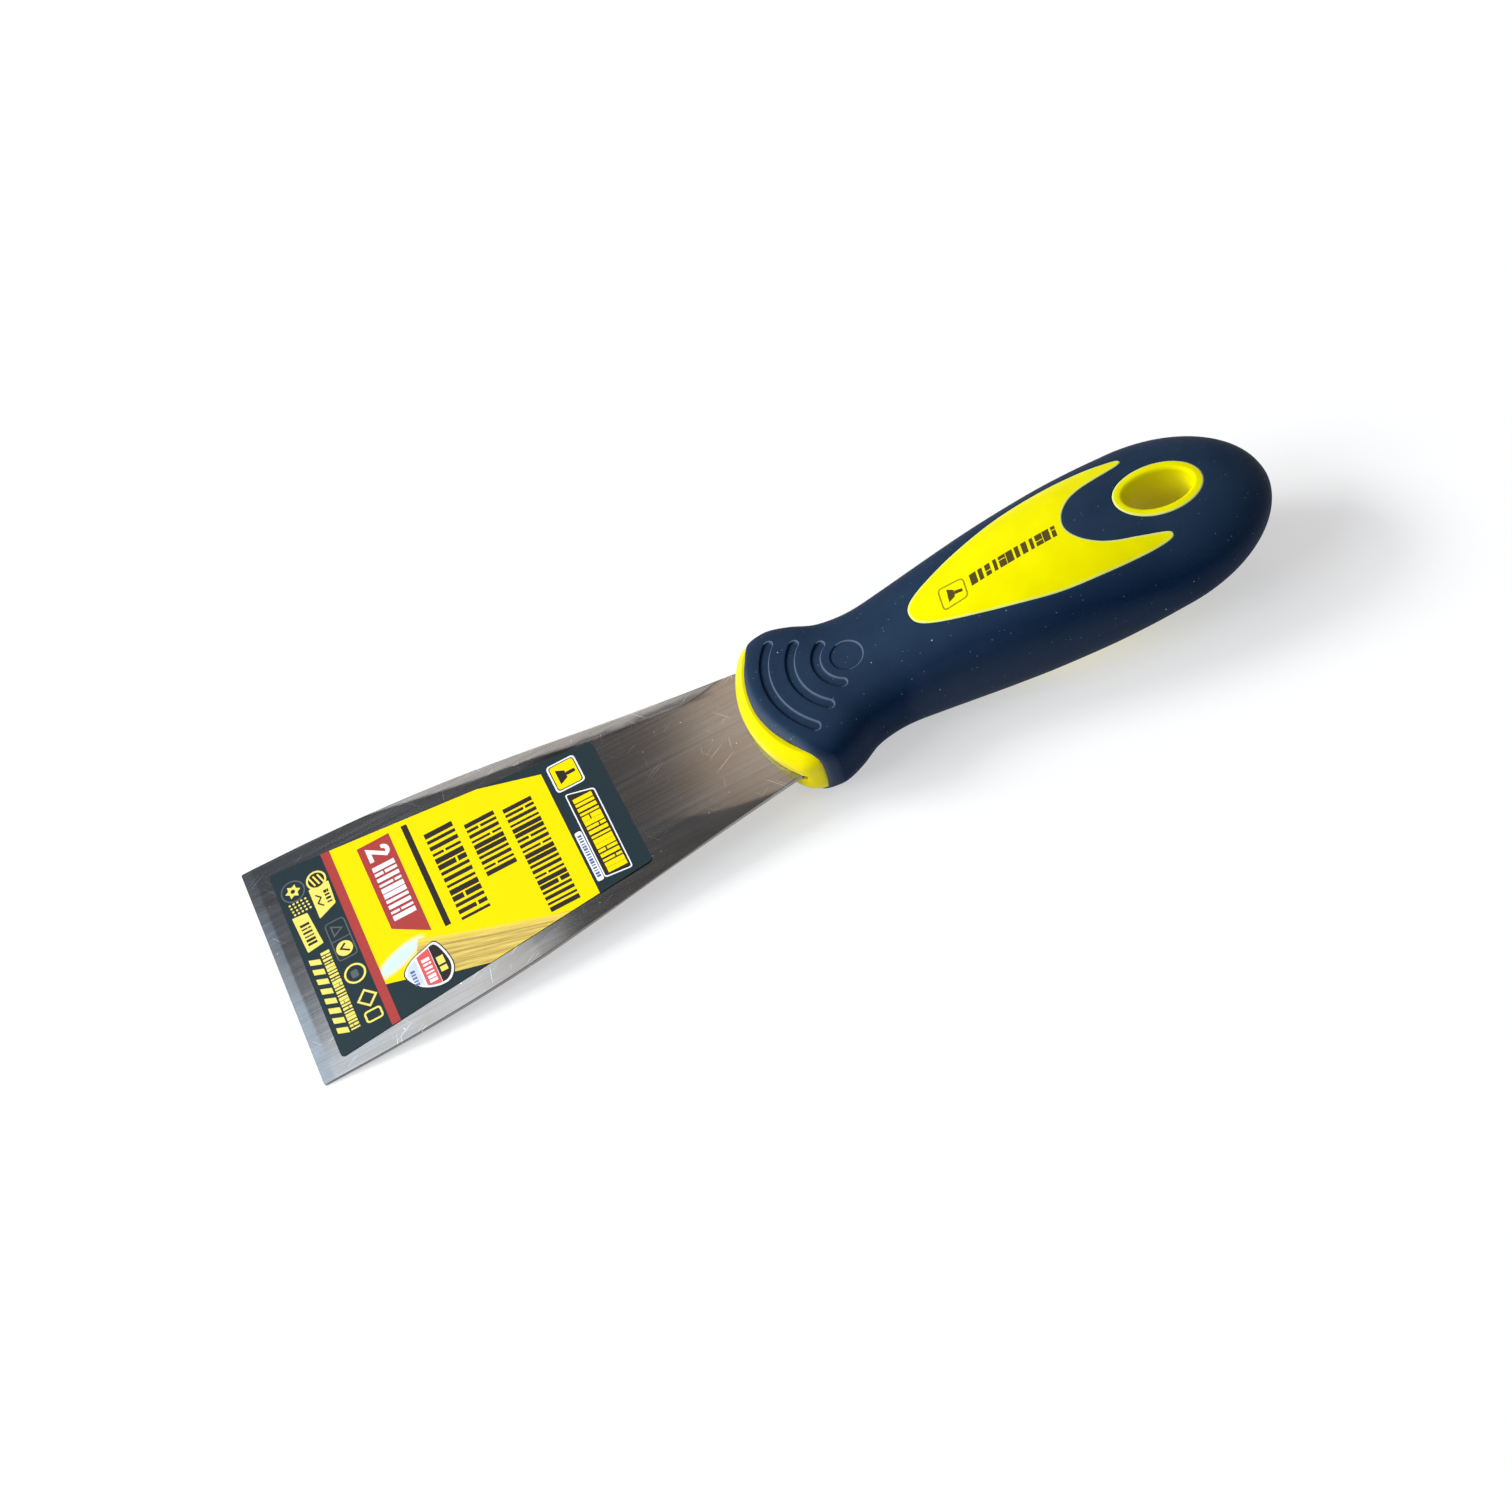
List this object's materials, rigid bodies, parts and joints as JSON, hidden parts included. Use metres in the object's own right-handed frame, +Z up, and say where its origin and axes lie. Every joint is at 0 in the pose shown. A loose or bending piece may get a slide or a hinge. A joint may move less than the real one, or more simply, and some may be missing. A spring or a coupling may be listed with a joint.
{
  "type": "scraper",
  "caption": "Hand scraper with a flared stainless steel blade and a rubber-skinned moulded handle with a hanging hole, for filling and stripping.",
  "frame": {"origin": "centre of the tool's footprint, level with the lowest point of the handle, with the blade's middle plane 13 mm above it", "axes": "+X along the tool from the working edge to the handle's end, +Y across the blade, +Z up out of the labelled face"},
  "size_m": [0.2094, 0.0508, 0.026],
  "materials": {
    "stainless_steel": "ground and brushed across its width",
    "yellow_plastic": "moulded, half gloss",
    "dark_rubber": "matt, very dark navy",
    "label_film": "printed, half gloss film"
  },
  "bodies": {
    "root": {"blade": "stainless_steel", "handle_core": "yellow_plastic", "grip": "dark_rubber", "label": "label_film"}
  },
  "joints": []
}
